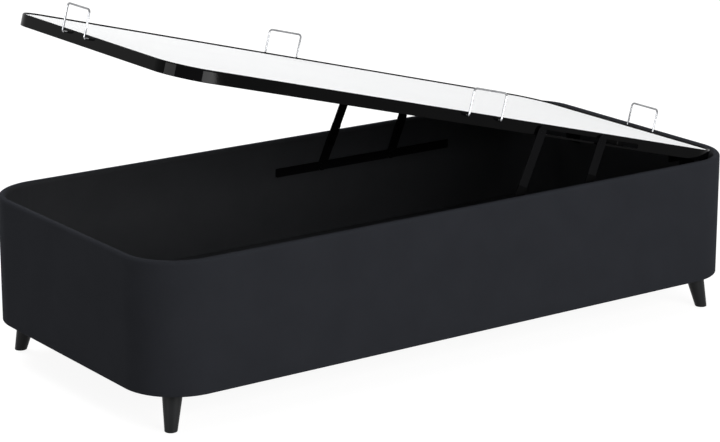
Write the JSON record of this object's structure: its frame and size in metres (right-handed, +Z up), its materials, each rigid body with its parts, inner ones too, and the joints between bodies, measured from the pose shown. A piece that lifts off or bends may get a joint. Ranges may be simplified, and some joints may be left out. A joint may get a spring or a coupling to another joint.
{
  "type": "divan bed base",
  "caption": "Upholstered storage bed base with rounded corners and splayed legs; a framed lid hinged at the head end stands part open on flat stays.",
  "frame": {"origin": "on the floor under the middle of the box", "axes": "+X to the head end, where the lid is hinged; +Y to the left side seen from the foot end; +Z up"},
  "size_m": [1.9, 0.9, 0.9874],
  "materials": {
    "cover_fabric": "charcoal upholstery fabric",
    "board": "bare board",
    "lining": "dark lining cloth on board",
    "black_wood": "black lacquer",
    "black_steel": "satin black",
    "gloss_frame": "gloss black",
    "white_fabric": "white mattress-base fabric",
    "chrome_wire": "polished"
  },
  "bodies": {
    "box": {"fabric_cover": "cover_fabric", "side_panel_left": "board", "side_panel_right": "board", "end_panel_head": "board", "end_panel_foot": "board", "corner_panel_head_left": "board", "leg_block_head_left": "board", "leg_plate_head_left": "black_steel", "leg_head_left": "black_wood", "corner_panel_head_right": "board", "leg_block_head_right": "board", "leg_plate_head_right": "black_steel", "leg_head_right": "black_wood", "corner_panel_foot_left": "board", "leg_block_foot_left": "board", "leg_plate_foot_left": "black_steel", "leg_foot_left": "black_wood", "corner_panel_foot_right": "board", "leg_block_foot_right": "board", "leg_plate_foot_right": "black_steel", "leg_foot_right": "black_wood", "floor_board_head": "lining", "floor_board_foot": "lining", "floor_batten_foot": "board", "floor_batten_middle": "board", "floor_batten_head": "board", "wall_rail_left": "black_steel", "hinge_bracket_left": "black_steel", "hinge_pin_left": "black_steel", "wall_rail_right": "black_steel", "hinge_bracket_right": "black_steel", "hinge_pin_right": "black_steel", "stay_rivet_head_left": "black_steel", "stay_rivet_head_right": "black_steel", "stay_rivet_foot_left": "black_steel", "stay_rivet_foot_right": "black_steel"},
    "lid": {"lid_frame": "gloss_frame", "lid_top": "white_fabric", "lid_crossbar_1": "black_steel", "lid_crossbar_2": "black_steel", "lid_crossbar_3": "black_steel", "lid_crossbar_4": "black_steel", "mattress_hoop_left": "chrome_wire", "mattress_hoop_right": "chrome_wire", "mattress_hoop_head": "chrome_wire", "mattress_hoop_foot": "chrome_wire", "hinge_lug_left": "black_steel", "hinge_lug_right": "black_steel"},
    "stay_head_left": {"lid_stay_head_left": "black_steel", "stay_roller_head_left": "black_steel"},
    "stay_head_right": {"lid_stay_head_right": "black_steel", "stay_roller_head_right": "black_steel"},
    "stay_foot_left": {"lid_stay_foot_left": "black_steel", "stay_roller_foot_left": "black_steel"},
    "stay_foot_right": {"lid_stay_foot_right": "black_steel", "stay_roller_foot_right": "black_steel"}
  },
  "joints": [
    {"name": "lid_hinge", "type": "hinge", "parent": "box", "child": "lid", "pos_m": [0.8672, 0, 0.4348], "axis": [0, 1, 0], "range_deg": [-15, 0]},
    {"name": "stay_head_left_turn", "type": "hinge", "parent": "box", "child": "stay_head_left", "pos_m": [0.3796, 0.4249, 0.348], "axis": [0, -1, 0], "range_deg": [-44.2, 0]},
    {"name": "stay_head_right_turn", "type": "hinge", "parent": "box", "child": "stay_head_right", "pos_m": [0.3796, -0.4249, 0.348], "axis": [0, -1, 0], "range_deg": [-44.2, 0]},
    {"name": "stay_foot_left_turn", "type": "hinge", "parent": "box", "child": "stay_foot_left", "pos_m": [0.135, 0.4249, 0.348], "axis": [0, -1, 0], "range_deg": [-47.2, 0]},
    {"name": "stay_foot_right_turn", "type": "hinge", "parent": "box", "child": "stay_foot_right", "pos_m": [0.135, -0.4249, 0.348], "axis": [0, -1, 0], "range_deg": [-47.2, 0]}
  ],
  "couplings": [
    {"joint": "stay_head_left_turn", "follows": "lid_hinge", "ratio": 2.9401},
    {"joint": "stay_head_right_turn", "follows": "lid_hinge", "ratio": 2.9401},
    {"joint": "stay_foot_left_turn", "follows": "lid_hinge", "ratio": 3.1428},
    {"joint": "stay_foot_right_turn", "follows": "lid_hinge", "ratio": 3.1428}
  ]
}
